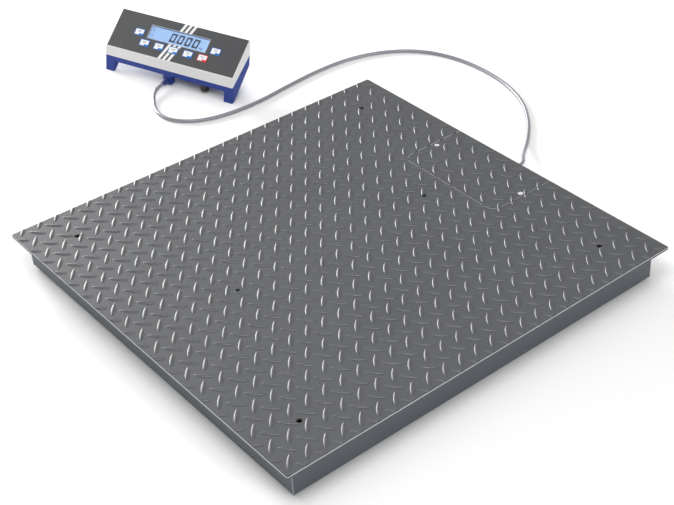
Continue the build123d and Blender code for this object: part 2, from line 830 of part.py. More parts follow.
def make_indicator_base():
    """Lower half: hollow cheeks that stand on the floor in front, a panel between them, boss and lugs."""
    inner = face_depth - shell_wall
    boss_top, boss_rear = boss_front + boss_lean, boss_front + 2 * boss_length + 1
    lug_front, lug_rear = stand_hinge_depth - lug_root, stand_hinge_depth + lug_root
    with BuildPart() as base:
        with BuildSketch(side_plane(0)):
            Polygon((0, 0), (leg_flat, 0), on_side(face_depth, 0), on_side(face_depth, rear_split),
                    on_side(0, front_split), align=None)
        extrude(amount=indicator_width)
        fillet(upright_edges(base), outer_round)
        with BuildSketch(side_plane(leg_width)):
            Polygon(on_side(-cut_past, -arch_cut_depth), on_side(-cut_past, arch_line(-cut_past)),
                    on_side(face_depth + cut_past, arch_line(face_depth + cut_past)),
                    on_side(face_depth + cut_past, -arch_cut_depth), align=None)
        extrude(amount=indicator_width - 2 * leg_width, mode=Mode.SUBTRACT)
        with BuildSketch(side_plane(shell_wall)):
            Polygon(on_side(shell_wall, arch_line(shell_wall) + shell_wall),
                    on_side(inner, arch_line(inner) + shell_wall),
                    on_side(inner, front_split + cut_past), on_side(shell_wall, front_split + cut_past),
                    align=None)
        extrude(amount=indicator_width - 2 * shell_wall, mode=Mode.SUBTRACT)
        for place in (shell_wall, indicator_width - leg_width + shell_wall):
            with BuildSketch(side_plane(place)):
                Polygon(on_side(leg_floor, leg_floor), on_side(inner, leg_floor),
                        on_side(inner, rear_split), on_side(leg_floor, rear_split), align=None)
            extrude(amount=leg_width - 2 * shell_wall, mode=Mode.SUBTRACT)
        with BuildSketch(side_plane(boss_centre - boss_width / 2)):
            Polygon((boss_front, boss_bottom), (boss_front + boss_length, boss_bottom),
                    (boss_rear, panel_height(boss_rear) + joined_depth),
                    (boss_top, panel_height(boss_top) + joined_depth), align=None)
        extrude(amount=boss_width)
        lug_gap = stand_width / 2 + turning_gap
        for place in (indicator_width / 2 - lug_gap - stand_lug_width, indicator_width / 2 + lug_gap):
            with BuildSketch(side_plane(place)):
                Polygon((lug_front, panel_height(lug_front) + joined_depth),
                        (stand_hinge_depth - lug_tip, stand_hinge_height - lug_tip),
                        (stand_hinge_depth + lug_tip, stand_hinge_height - lug_tip),
                        (lug_rear, panel_height(lug_rear) + joined_depth), align=None)
            extrude(amount=stand_lug_width)
            with BuildSketch(side_plane(place)):
                with Locations((stand_hinge_depth, stand_hinge_height)):
                    Circle(stand_pin_radius + thread_clearance)
            extrude(amount=stand_lug_width, mode=Mode.SUBTRACT)
        for plane in screw_planes():
            with BuildSketch(plane):
                Circle(housing_screw_radius + thread_clearance)
            extrude(amount=-shell_wall * 3, mode=Mode.SUBTRACT)
        with BuildSketch(side_plane(indicator_width)):
            with Locations(on_side(notch_place, notch_height)):
                Rectangle(notch_length, notch_width, rotation=face_slope)
        extrude(amount=-notch_depth, mode=Mode.SUBTRACT)
        with BuildSketch(socket_plane(panel_height(socket_depth) - cut_past)):
            Circle(socket_thread_radius)
        extrude(amount=shell_wall * 4, mode=Mode.SUBTRACT)
    keep(base, "indicator_base")


def socket_plane(height):
    """Level plane on the socket's axis."""
    spot = indicator_corner + across * socket_position + back * socket_depth
    return Plane(origin=spot + up * height, x_dir=across, z_dir=(0, 0, 1))


def make_adapter_socket():
    """Round black power socket that hangs under the panel."""
    top = panel_height(socket_depth + socket_radius) + joined_depth
    near, far = socket_depth - 2 * socket_radius, socket_depth + 2 * socket_radius
    with BuildPart() as socket:
        with BuildSketch(socket_plane(socket_bottom)):
            Circle(socket_radius)
        extrude(amount=top - socket_bottom)
        fillet(socket.faces().sort_by(Axis.Z)[0].edges(), socket_radius * 0.5)
        with BuildSketch(side_plane(socket_position - 2 * socket_radius)):
            Polygon((near, panel_height(near)), (far, panel_height(far)), (far, 2 * top), (near, 2 * top),
                    align=None)
        extrude(amount=4 * socket_radius, mode=Mode.SUBTRACT)
        with BuildSketch(socket_plane(socket_bottom + socket_radius)):
            Circle(socket_thread_radius - thread_clearance)
        extrude(amount=panel_height(socket_depth) + socket_inside - socket_bottom - socket_radius)
    keep(socket, "adapter_socket")


def make_housing_screws():
    with BuildPart() as screws:
        for plane in screw_planes():
            with BuildSketch(plane):
                Circle(housing_screw_radius * 2)
            extrude(amount=housing_screw_head)
            with BuildSketch(plane):
                Circle(housing_screw_radius)
            extrude(amount=-housing_screw_length)
    keep(screws, "housing_screws")


def make_overlay():
    """Printed sheet in the face's recess, cut out for the window and the keys."""
    with BuildPart() as overlay:
        with BuildSketch(face_plane(overlay_thickness)):
            with Locations((indicator_width / 2, face_depth / 2)):
                Rectangle(indicator_width - 2 * bezel - sheet_gap, face_depth - 2 * bezel - sheet_gap)
            with Locations((indicator_width / 2, bezel + window_centre)):
                Rectangle(window_width, window_height, mode=Mode.SUBTRACT)
            with Locations(*key_places().values()):
                Rectangle(key_width + 2 * key_gap, key_height + 2 * key_gap, mode=Mode.SUBTRACT)
        extrude(amount=overlay_thickness)
    keep(overlay, "overlay")


def make_window():
    with BuildPart() as window:
        with BuildSketch(face_plane(window_thickness)):
            with Locations((indicator_width / 2, bezel + window_centre)):
                Rectangle(window_width - window_gap, window_height - window_gap)
        extrude(amount=window_thickness)
    keep(window, "display_window")


def make_display():
    with BuildPart() as display:
        with BuildSketch(face_plane(board_depth)):
            with Locations((indicator_width / 2, bezel + window_centre)):
                Rectangle(window_width + 2 * display_margin, window_height + 2 * display_margin)
        extrude(amount=board_depth - shell_wall - turning_gap)
    keep(display, "display_module")


def make_main_board():
    with BuildPart() as board:
        with BuildSketch(face_plane(board_depth + board_thickness)):
            with Locations((indicator_width / 2, board_front)):
                Rectangle(board_length, board_width, align=(Align.CENTER, Align.MIN))
        extrude(amount=board_thickness)
    keep(board, "main_board")


def make_keys():
    """Seven flat keys, each on a short plunger over the main board."""
    for name, place in key_places().items():
        with BuildPart() as key:
            with BuildSketch(face_plane(key_cap)):
                with Locations(place):
                    RectangleRounded(key_width, key_height, key_corner)
            extrude(amount=key_cap + key_proud)
            with BuildSketch(face_plane(board_depth - key_proud - turning_gap)):
                with Locations(place):
                    Circle(key_plunger_radius)
            extrude(amount=board_depth - key_proud - turning_gap - key_cap)
        keep(key, name)


def make_stand():
    """Fold-out plate on two pins, which carries the indicator's back."""
    start = (indicator_width - stand_width) / 2
    half = stand_thickness / 2
    with BuildPart() as stand:
        with BuildSketch(side_plane(start)):
            with Locations((stand_hinge_depth, stand_hinge_height)):
                Circle(stand_barrel_radius)
            Polygon((stand_hinge_depth - half, stand_hinge_height),
                    (stand_hinge_depth + half, stand_hinge_height),
                    (stand_foot_depth + half, stand_pad_height),
                    (stand_foot_depth - half, stand_pad_height), align=None)
        extrude(amount=stand_width)
        with BuildSketch(side_plane(start - stand_lug_width)):
            with Locations((stand_hinge_depth, stand_hinge_height)):
                Circle(stand_pin_radius)
        extrude(amount=stand_width + 2 * stand_lug_width)
    keep(stand, "rear_stand")


def make_stand_pads():
    """Two rubber strips under the stand."""
    with BuildPart() as pads:
        near = (indicator_width - stand_width) / 2 + stand_pad_inset
        far = (indicator_width + stand_width) / 2 - stand_pad_inset - stand_pad_length
        for place in (near, far):
            with BuildSketch(side_plane(place)):
                with Locations((stand_foot_depth, 0)):
                    Rectangle(2 * stand_thickness, stand_pad_height, align=(Align.CENTER, Align.MIN))
            extrude(amount=stand_pad_length)
    keep(pads, "stand_pads")


make_deck()
make_frame()
make_stringers()
make_cross_rails()
make_lifting_bosses()
make_hatch()
make_hatch_screws()
make_hatch_ledges()
make_spacers()
make_cell_bolts()
make_lock_nuts()
for corner, (sx, sy) in corners.items():
    make_load_cell(corner, sx, sy)
    make_foot_base(corner, sx, sy)
    make_foot_stem(corner, sx, sy)
    make_cell_lead(corner, sx, sy)
make_junction_bracket()
make_junction_box()
make_junction_lid()
make_junction_screws()
make_summing_board()
make_terminal_blocks()
make_junction_glands()
make_lead_clips()
make_signal_lead_inside()
make_cable_outlet()
outlet_end = facing(cable_outlet_x, frame_half_y + outlet_body_length, gland_height, (0, 1, 0))
make_relief("outlet_relief", outlet_end)
make_cable()
boss_exit = indicator_corner + across * boss_centre + back * boss_front + up * boss_exit_height
make_relief("indicator_relief", Plane(origin=boss_exit, x_dir=across, z_dir=back * -1))
make_indicator_base()
make_indicator_top()
make_overlay()
make_window()
make_display()
make_main_board()
make_keys()
make_housing_screws()
make_adapter_socket()
make_stand()
make_stand_pads()
relief_tip = boss_exit - back * relief_length
print("relief tip:", relief_tip, "platform_x:", platform_x, "axes:", across, back, face_normal)
print("stand hinge:", indicator_corner + back * stand_hinge_depth + up * stand_hinge_height)
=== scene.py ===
import bmesh
import bpy
from math import cos, pi, radians, sin
from mathutils import Matrix, Vector


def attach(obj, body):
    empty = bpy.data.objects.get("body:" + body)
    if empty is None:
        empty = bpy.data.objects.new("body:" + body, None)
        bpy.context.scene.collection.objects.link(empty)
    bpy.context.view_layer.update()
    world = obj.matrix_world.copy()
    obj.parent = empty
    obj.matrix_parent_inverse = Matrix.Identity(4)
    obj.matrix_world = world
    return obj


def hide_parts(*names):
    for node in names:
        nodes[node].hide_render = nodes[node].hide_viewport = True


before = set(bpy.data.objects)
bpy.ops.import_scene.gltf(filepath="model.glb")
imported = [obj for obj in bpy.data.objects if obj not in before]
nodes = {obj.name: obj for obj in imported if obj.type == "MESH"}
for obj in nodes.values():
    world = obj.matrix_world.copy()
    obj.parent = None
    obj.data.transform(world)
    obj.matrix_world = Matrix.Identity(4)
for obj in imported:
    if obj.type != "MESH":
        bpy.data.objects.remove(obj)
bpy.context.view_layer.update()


# ---------------------------------------------------------------- camera
# A long lens, a little above head height, off the platform's front right corner.
# The view is turned to the left of the platform's length and looks down on the deck.

camera_data = bpy.data.cameras.new("camera")
camera_data.sensor_width = 36
camera_data.lens = 75.4
camera_data.shift_x = -0.1335
camera_data.shift_y = 0.0
camera_data.clip_end = 60
camera = bpy.data.objects.new("camera", camera_data)
bpy.context.scene.collection.objects.link(camera)
bpy.context.scene.camera = camera
heading, look_down, tilt = radians(49.7), radians(36.0), radians(1.69)
ahead = Vector((-sin(heading) * cos(look_down), cos(heading) * cos(look_down), -sin(look_down)))
level = ahead.cross(Vector((0, 0, 1))).normalized()
above = level.cross(ahead)
aside = level * cos(tilt) - above * sin(tilt)
crown = level * sin(tilt) + above * cos(tilt)
camera.matrix_world = Matrix.Translation((2.3459, -1.439, 1.831)) @ Matrix(
    (aside, crown, -ahead)).transposed().to_4x4()


# ---------------------------------------------------------------- signal cable
# One shielded cable from the rear outlet to the indicator, seen from end to end as it lies on the floor.
# It leaves level, comes down to the floor and turns back on itself under the indicator's front.

cable_points = [
    (0.3609, 0.512, 0.045), (0.3609, 0.550, 0.045), (0.322, 0.586, 0.033), (0.283, 0.630, 0.012),
    (0.251, 0.672, 0.005), (0.189, 0.740, 0.005), (0.107, 0.800, 0.005), (0.012, 0.835, 0.005),
    (-0.093, 0.846, 0.005), (-0.193, 0.836, 0.005), (-0.283, 0.800, 0.005), (-0.351, 0.728, 0.005),
    (-0.390, 0.630, 0.005), (-0.395, 0.520, 0.005), (-0.384, 0.410, 0.005), (-0.369, 0.310, 0.005),
    (-0.371, 0.215, 0.005), (-0.396, 0.134, 0.005), (-0.450, 0.086, 0.005), (-0.509, 0.083, 0.005),
    (-0.558, 0.106, 0.005), (-0.6006, 0.1366, 0.012), (-0.6119, 0.1686, 0.012),
]
cable_curve = bpy.data.curves.new("signal_cable_braid", "CURVE")
cable_curve.dimensions = "3D"
route = cable_curve.splines.new("NURBS")
route.points.add(len(cable_points) - 1)
for point, place in zip(route.points, cable_points):
    point.co = (*place, 1)
route.order_u = 3
route.use_endpoint_u = True
cable_curve.resolution_u = 12
cable_curve.bevel_depth = 0.0045
cable_curve.bevel_resolution = 5
cable_curve.use_fill_caps = True
cable = bpy.data.objects.new("signal_cable_braid", cable_curve)
bpy.context.scene.collection.objects.link(cable)
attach(cable, "platform")
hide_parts("signal_cable")


# The shield is braided from fine tinned wires and shows through a clear sleeve. Its weave follows the
# cable's own length and girth.

def add(tree, kind, feeds=(), **settings):
    """Places a node. feeds gives its inputs, each as a value or as another node's output."""
    placed = tree.nodes.new("ShaderNode" + kind)
    for name, value in settings.items():
        setattr(placed, name, value)
    for name, value in dict(feeds).items():
        if isinstance(value, bpy.types.NodeSocket):
            tree.links.new(value, placed.inputs[name])
        else:
            placed.inputs[name].default_value = value
    return placed


def work_out(tree, operation, first, second=0.0, third=0.0):
    """One step of arithmetic on what varies over a surface."""
    return add(tree, "Math", {0: first, 1: second, 2: third}, operation=operation).outputs[0]


def shade(red, green, blue):
    """A paint chip's colour as light."""
    return tuple(((part / 255 + 0.055) / 1.055) ** 2.4 for part in (red, green, blue)) + (1,)


def between(tree, share, low, high):
    """A colour between two others."""
    return add(tree, "Mix", {0: share, 6: low, 7: high}, data_type="RGBA").outputs[2]


def start_finish(name, **constants):
    """An empty finish: its material, its node tree and its shader, with the shader's fixed values set."""
    made = bpy.data.materials.new(name)
    made.use_nodes = True
    shader = made.node_tree.nodes["Principled BSDF"]
    for socket, value in constants.items():
        shader.inputs[socket.replace("_", " ")].default_value = value
    return made, made.node_tree, shader


def join(tree, shader, **feeds):
    """Leads what varies over the surface into the shader."""
    for socket, source in feeds.items():
        tree.links.new(source, shader.inputs[socket.replace("_", " ")])


braid_turns, braid_strands = 420, 6
braid, tree, shader = start_finish("tinned_braid", Metallic=0.35, Coat_Weight=0.35, Coat_Roughness=0.3)
along_girth = add(tree, "SeparateXYZ", {0: add(tree, "TexCoord").outputs["UV"]})
run = work_out(tree, "MULTIPLY", along_girth.outputs[0], 2 * pi * braid_turns)
turn_round = work_out(tree, "MULTIPLY", along_girth.outputs[1], 2 * pi * braid_strands)
leaning = work_out(tree, "SINE", work_out(tree, "ADD", run, turn_round))
crossing = work_out(tree, "SINE", work_out(tree, "SUBTRACT", run, turn_round))
weave = work_out(tree, "MULTIPLY_ADD", work_out(tree, "MULTIPLY", leaning, crossing), 0.5, 0.5)
join(tree, shader, Base_Color=between(tree, weave, shade(112, 113, 120), shade(164, 165, 172)),
     Roughness=work_out(tree, "MULTIPLY_ADD", weave, -0.15, 0.45),
     Normal=add(tree, "Bump", {"Strength": 0.4, "Distance": 0.0002, "Height": weave}).outputs[0])
cable_curve.materials.append(braid)


# ---------------------------------------------------------------- deck plate
# Five-millimetre steel plate, sheared square, its edges broken all round and then painted graphite grey.
# The broken edges carry a painted highlight, a light steel tone in place of the bright line the light draws
# along them.

platform_x = 0.346892
deck_top = 0.085

fine_finish = bpy.data.node_groups.new("fine_finish", "ShaderNodeTree")
for socket in ("Size", "Depth"):
    fine_finish.interface.new_socket(socket, in_out="INPUT", socket_type="NodeSocketFloat")
fine_finish.interface.new_socket("Tone", in_out="OUTPUT", socket_type="NodeSocketFloat")
fine_finish.interface.new_socket("Normal", in_out="OUTPUT", socket_type="NodeSocketVector")
given, handed = fine_finish.nodes.new("NodeGroupInput"), fine_finish.nodes.new("NodeGroupOutput")
place = add(fine_finish, "TexCoord").outputs["Object"]
speckle = add(fine_finish, "TexNoise", {"Vector": place, "Scale": given.outputs["Size"], "Detail": 3.0})
cloud = add(fine_finish, "TexNoise", {"Vector": place, "Scale": 9.0, "Detail": 2.0})
tone = work_out(fine_finish, "MULTIPLY_ADD", speckle.outputs[0], 0.55,
                work_out(fine_finish, "MULTIPLY", cloud.outputs[0], 0.45))
relief = add(fine_finish, "Bump", {"Strength": given.outputs["Depth"], "Distance": 0.0004,
                                   "Height": speckle.outputs[0]})
fine_finish.links.new(tone, handed.inputs["Tone"])
fine_finish.links.new(relief.outputs[0], handed.inputs["Normal"])

# Painted highlight: marks the broken edges' faces, which take a light steel tone in place of the bright line
# along them.
painted_edge_highlight = bpy.data.node_groups.new("painted_edge_highlight", "ShaderNodeTree")
painted_edge_highlight.interface.new_socket("Highlight", in_out="OUTPUT", socket_type="NodeSocketFloat")
handed = painted_edge_highlight.nodes.new("NodeGroupOutput")
lie = add(painted_edge_highlight, "SeparateXYZ", {0: add(painted_edge_highlight, "TexCoord").outputs["Normal"]})
broken_edge, edge_spread = 0.707, 0.13
painted_edge_highlight.links.new(work_out(painted_edge_highlight, "COMPARE", lie.outputs[2], broken_edge, edge_spread),
                     handed.inputs["Highlight"])


def place_group(tree, group, **values):
    """Puts a shared effect in a finish, with that finish's own values."""
    placed = tree.nodes.new("ShaderNodeGroup")
    placed.node_tree = group
    for name, value in values.items():
        placed.inputs[name].default_value = value
    return placed


def grained_finish(name, low, high, grain, depth, rough=(0.4, 0.6), **constants):
    """A finish of two close tones with its own grain, as many to the metre as grain says."""
    made, tree, shader = start_finish(name, **constants)
    texture = place_group(tree, fine_finish, Size=grain, Depth=depth)
    smooth, dull = rough
    join(tree, shader, Base_Color=between(tree, texture.outputs["Tone"], low, high),
         Roughness=work_out(tree, "MULTIPLY_ADD", texture.outputs["Tone"], dull - smooth, smooth),
         Normal=texture.outputs["Normal"])
    return made


def dress(finish, *names):
    """Gives CAD pieces their finish."""
    for name in names:
        for held in nodes[name].material_slots:
            held.material = finish


def painted_plate(name, edge_highlight_tone):
    """Graphite paint over steel plate, with a painted highlight on the broken edges: a light steel tone in
    place of the bright line along them.
    """
    made, tree, shader = start_finish(name, Specular_IOR_Level=0.4)
    texture = place_group(tree, fine_finish, Size=900.0, Depth=0.25)
    edge = place_group(tree, painted_edge_highlight).outputs["Highlight"]
    paint = between(tree, texture.outputs["Tone"], shade(68, 69, 71), shade(86, 87, 89))
    join(tree, shader, Base_Color=between(tree, edge, paint, edge_highlight_tone),
         Roughness=work_out(tree, "MULTIPLY_ADD", texture.outputs["Tone"], 0.12, 0.44),
         Normal=texture.outputs["Normal"])
    return made


# Each light tone below is the painted highlight on that plate's broken edges.
dress(painted_plate("graphite_deck_paint", shade(178, 180, 184)), "deck_plate")
dress(painted_plate("graphite_hatch_paint", shade(138, 140, 144)), "hatch_plate")


# ---------------------------------------------------------------- raised tears
# Pointed tears rolled into the plate in two crossing rows. They run on to the plate's edges and are cut
# off there, at the hatch's seam and round every drilled hole.

tear_pitch_x, tear_pitch_y = 0.0536, 0.0408
tear_start_x, tear_start_y = 0.2018, -0.188
tear_width, tear_height, tear_root, tear_flank = 0.0092, 0.0016, 0.0002, 0.3
tear_rows = ((radians(-39), 0.044, 0.0), (radians(41), 0.043, 0.5))
tear_columns, tear_lines = range(-14, 8), range(-9, 19)
plate_half, tear_overrun = 0.4975, 0.006
hatch_half, hatch_front, hatch_corner = 0.150, 0.322, 0.025
seam_width, seam_edge = 0.0013, 0.0010
clear_outside, clear_inside = 0.006, -0.005


def raise_tear(x, y, turn, length):
    """One tear: a small grid drawn out to two points, crowned, and closed underneath."""
    tear = bmesh.new()
    bmesh.ops.create_grid(tear, x_segments=8, y_segments=4, size=1)
    for corner in tear.verts:
        along, girth = corner.co.x, corner.co.y
        swell = max(0.0, 1 - along ** 2)
        rise = (1.0, 0.86, 0.0)[round(abs(girth) * 2)]
        if abs(girth) == 0.5:
            girth *= 2 * (1 - tear_flank)
        corner.co = (along * length / 2, girth * swell ** 0.8 * tear_width / 2,
                     (tear_height + tear_root) * rise * swell ** 0.4 - tear_root)
    bmesh.ops.remove_doubles(tear, verts=tear.verts, dist=1e-6)
    bmesh.ops.holes_fill(tear, edges=[edge for edge in tear.edges if edge.is_boundary], sides=0)
    bmesh.ops.transform(tear, verts=tear.verts, matrix=Matrix.Translation((platform_x + x, y, deck_top))
                        @ Matrix.Rotation(turn, 4, "Z"))
    return tear


def trim(tear, spot, outward):
    """Cuts a tear off at an edge and closes it there."""
    everything = tear.verts[:] + tear.edges[:] + tear.faces[:]
    cut = bmesh.ops.bisect_plane(tear, geom=everything, plane_co=spot, plane_no=outward, clear_outer=True)
    rim = [part for part in cut["geom_cut"] if isinstance(part, bmesh.types.BMEdge)]
    if rim:
        bmesh.ops.holes_fill(tear, edges=rim, sides=0)


def from_seam(x, y):
    """How far a place on the deck is outside the hatch, and the way out."""
    over_x, over_y = abs(x) - hatch_half + hatch_corner, hatch_front + hatch_corner - y
    side = 1 if x > 0 else -1
    if over_x > 0 and over_y > 0:
        reach = Vector((side * over_x, -over_y, 0))
        return reach.length - hatch_corner, reach.normalized()
    if over_x > over_y:
        return over_x - hatch_corner, Vector((side, 0, 0))
    return over_y - hatch_corner, Vector((0, -1, 0))


def tear_places():
    """Where each tear of both rows stands, how far it is turned and how long it is."""
    for turn, length, shift in tear_rows:
        for column in tear_columns:
            for row in tear_lines:
                x = tear_start_x + (column + shift) * tear_pitch_x
                y = tear_start_y + (row + shift) * tear_pitch_y
                if max(abs(x), abs(y)) <= plate_half + tear_overrun:
                    yield x, y, turn, length


def meet_seam(x, y, turn, length, steps=9):
    """The plates that a tear lies in, the place on the seam nearest to it, and the way out there."""
    line = [(x + cos(turn) * length * (step / (steps - 1) - 0.5),
             y + sin(turn) * length * (step / (steps - 1) - 0.5)) for step in range(steps)]
    gaps = [from_seam(*spot)[0] for spot in line]
    near_x, near_y = min(zip(gaps, line), key=lambda pair: abs(pair[0]))[1]
    gap, outward = from_seam(near_x, near_y)
    seam = Vector((platform_x + near_x, near_y, deck_top)) - outward * gap
    if min(gaps) > clear_outside:
        return ["deck"], seam, outward
    if max(gaps) < clear_inside:
        return ["hatch"], seam, outward
    return ["deck", "hatch"], seam, outward


def cut_to_plate(tear):
    """Cuts a tear off at the plate's four edges."""
    for way in (Vector((1, 0, 0)), Vector((-1, 0, 0)), Vector((0, 1, 0)), Vector((0, -1, 0))):
        edge = Vector((platform_x, 0, deck_top)) + way * plate_half
        if tear.verts and max((corner.co - edge).dot(way) for corner in tear.verts) > 0:
            trim(tear, edge, way)


def press_tears():
    """Every tear of both rows, in the plate that it belongs to."""
    plates = {"deck": bmesh.new(), "hatch": bmesh.new()}
    pressed = bpy.data.meshes.new("pressed")
    for x, y, turn, length in tear_places():
        sides, seam, outward = meet_seam(x, y, turn, length)
        for side in sides:
            tear = raise_tear(x, y, turn, length)
            cut_to_plate(tear)
            if len(sides) == 2 and tear.verts and side == "deck":
                trim(tear, seam + outward * seam_width, -outward)
            elif len(sides) == 2 and tear.verts:
                trim(tear, seam - outward * seam_edge, outward)
            if tear.faces:
                tear.to_mesh(pressed)
                plates[side].from_mesh(pressed)
            tear.free()
    bpy.data.meshes.remove(pressed)
    return plates


def new_piece(name, work, finish, body):
    """A finished piece: its mesh in place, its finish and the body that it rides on."""
    mesh = bpy.data.meshes.new(name)
    work.to_mesh(mesh)
    work.free()
    piece = bpy.data.objects.new(name, mesh)
    mesh.materials.append(finish)
    bpy.context.scene.collection.objects.link(piece)
    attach(piece, body)
    return piece


def soften(work, sharpest):
    """Smooth faces, with an edge kept crisp where its faces turn by more than sharpest degrees."""
    for face in work.faces:
        face.smooth = True
    for edge in work.edges:
        edge.smooth = edge.calc_face_angle(pi) < radians(sharpest)


def drill(piece, holes, radius):
    """Cuts round holes through a plate's tears."""
    bits = bmesh.new()
    for x, y in holes:
        bmesh.ops.create_cone(bits, cap_ends=True, segments=32, radius1=radius, radius2=radius, depth=0.02,
                              matrix=Matrix.Translation((platform_x + x, y, deck_top)))
    bit_mesh = bpy.data.meshes.new("drill_bits")
    bits.to_mesh(bit_mesh)
    bits.free()
    bit = bpy.data.objects.new("drill_bits", bit_mesh)
    bpy.context.scene.collection.objects.link(bit)
    cut = piece.modifiers.new("holes", "BOOLEAN")
    cut.object, cut.operation, cut.solver = bit, "DIFFERENCE", "EXACT"
    drilled = bpy.data.meshes.new_from_object(piece.evaluated_get(bpy.context.evaluated_depsgraph_get()))
    piece.modifiers.clear()
    old = piece.data
    piece.data = drilled
    bpy.data.meshes.remove(old)
    drilled.name = piece.name
    bpy.data.objects.remove(bit)
    bpy.data.meshes.remove(bit_mesh)


def tear_paint():
    """The same paint on the tears, with a painted highlight on their flanks and a little less roughness
    there.
    """
    made, tree, shader = start_finish("tear_paint_flank_highlight", Specular_IOR_Level=0.6)
    texture = place_group(tree, fine_finish, Size=900.0, Depth=0.15)
    lie_of = add(tree, "SeparateXYZ", {0: add(tree, "TexCoord").outputs["Normal"]}).outputs[2]
    slope = add(tree, "MapRange", {"Value": lie_of, "From Min": 0.97, "From Max": 0.7}).outputs[0]
    whole = add(tree, "MapRange", {"Value": lie_of, "From Min": 0.06, "From Max": 0.2}).outputs[0]
    flank_highlight = work_out(tree, "MULTIPLY", slope, whole)
    paint = between(tree, texture.outputs["Tone"], shade(64, 65, 67), shade(82, 83, 85))
    # Painted highlight: the flanks take a lighter grey than the tops and the deck.
    join(tree, shader, Base_Color=between(tree, flank_highlight, paint, shade(104, 105, 108)),
         Roughness=work_out(tree, "MULTIPLY_ADD", flank_highlight, -0.08, 0.43), Normal=texture.outputs["Normal"])
    return made


tear_finish = tear_paint()
plates = press_tears()
for work in plates.values():
    bmesh.ops.recalc_face_normals(work, faces=work.faces)
    soften(work, 60)
deck_tears = new_piece("deck_tears", plates["deck"], tear_finish, "platform")
hatch_tears = new_piece("hatch_tears", plates["hatch"], tear_finish, "hatch")
foot_hole_x, foot_hole_y, foot_hole_radius = 0.397, 0.396, 0.0062
lifting_hole_y, lifting_hole_radius = 0.253, 0.0053
screw_x, screw_y, screw_hole_radius = 0.140, 0.415, 0.0060
drill(deck_tears, [(sx * foot_hole_x, sy * foot_hole_y) for sx in (-1, 1) for sy in (-1, 1)],
      foot_hole_radius)
drill(deck_tears, [(0, -lifting_hole_y), (0, lifting_hole_y)], lifting_hole_radius)
drill(hatch_tears, [(-screw_x, screw_y), (screw_x, screw_y)], screw_hole_radius)


# ---------------------------------------------------------------- frame and stiffeners
# Four channels bent from sheet, mitred and welded at the corners, with two box stiffeners, two short
# rails, the hatch's ledges and the lifting bosses inside. All are welded under the deck and sprayed with it.

frame_paint = grained_finish("blue_grey_frame_paint", shade(64, 69, 74), shade(82, 88, 94), 260.0, 0.12,
                             rough=(0.34, 0.52), Specular_IOR_Level=0.45)
dress(frame_paint, "frame_front", "frame_rear", "frame_left", "frame_right", "stringers", "cross_rails",
      "lifting_bosses", "hatch_ledges", "junction_bracket", "cell_spacers")

frame_half, frame_bottom, frame_top = 0.475, 0.005, 0.080
bead_radius, bead_sunk, bead_end = 0.0011, 0.6, 0.0005
bead_place = frame_half - bead_radius * bead_sunk
# A weld bead runs up each corner. Its light steel tone is a painted highlight along the frame's corner.
corner_weld_highlight = grained_finish("corner_weld_highlight", shade(120, 127, 133), shade(158, 165, 172), 700.0, 0.35,
                             rough=(0.25, 0.4), Metallic=0.6)
corner_beads = bmesh.new()
for sx in (-1, 1):
    for sy in (-1, 1):
        spot = (platform_x + sx * bead_place, sy * bead_place, (frame_bottom + frame_top) / 2)
        bmesh.ops.create_cone(corner_beads, cap_ends=True, segments=12, radius1=bead_radius,
                              radius2=bead_radius, depth=frame_top - frame_bottom - 2 * bead_end,
                              matrix=Matrix.Translation(spot))
soften(corner_beads, 50)
new_piece("corner_welds", corner_beads, corner_weld_highlight, "platform")

stitch_length, stitch_pitch, stitch_radius = 0.045, 0.150, 0.0026
hatch_side, hatch_stitch = 1, 0
stitch_welds = bmesh.new()
for quarter in range(4):
    for count in range(-3, 4):
        if quarter == hatch_side and count == hatch_stitch:
            continue
        along_side = Matrix.Translation((frame_half, count * stitch_pitch, frame_top))
        lie = (Matrix.Translation((platform_x, 0, 0)) @ Matrix.Rotation(quarter * pi / 2, 4, "Z")
               @ along_side @ Matrix.Rotation(pi / 2, 4, "X"))
        bead = bmesh.ops.create_cone(stitch_welds, cap_ends=True, segments=10, radius1=stitch_radius,
                                     radius2=stitch_radius, depth=stitch_length, matrix=lie)["verts"]
        rings = [edge for edge in stitch_welds.edges if edge.verts[0] in bead and edge.verts[1] in bead
                 and edge.calc_length() > stitch_length * 0.9]
        bmesh.ops.subdivide_edges(stitch_welds, edges=rings, cuts=8)
soften(stitch_welds, 50)
new_piece("stitch_welds", stitch_welds, frame_paint, "platform")


# ---------------------------------------------------------------- hatch screws
# Two countersunk socket screws, zinc plated and left bright, flush with the hatch.

bright_zinc = grained_finish("bright_zinc", shade(226, 228, 231), shade(246, 247, 248), 500.0, 0.05,
                             rough=(0.2, 0.34), Metallic=0.3)
dress(bright_zinc, "hatch_screws")


# ---------------------------------------------------------------- load cells and feet
# Nickel-plated shear-beam cells, each bolted up to its pad by its inner end, with a levelling foot
# screwed into its free end and locked by a thin nut. The feet are soled with hard rubber.

nickel_plate = grained_finish("satin_nickel", shade(150, 150, 147), shade(186, 185, 180), 420.0, 0.08,
                              rough=(0.24, 0.4), Metallic=0.9)
zinc_plate = grained_finish("yellowed_zinc", shade(150, 148, 138), shade(192, 190, 178), 600.0, 0.12,
                            rough=(0.28, 0.46), Metallic=0.85)
foot_rubber = grained_finish("hard_rubber", shade(24, 24, 25), shade(42, 42, 43), 520.0, 0.5,
                             rough=(0.62, 0.82))
corner_names = ("front_left", "front_right", "rear_right", "rear_left")
dress(nickel_plate, *[f"load_cell_{name}" for name in corner_names])
dress(zinc_plate, "cell_bolts", "lock_nuts", *[f"foot_stem_{name}" for name in corner_names])
dress(foot_rubber, *[f"foot_base_{name}" for name in corner_names])


# ---------------------------------------------------------------- junction box and leads
# A small cast box between the stiffeners, under the hatch. Four cell leads come in through plated
# glands to a board with clamp blocks, and the signal lead goes out to the rear channel.

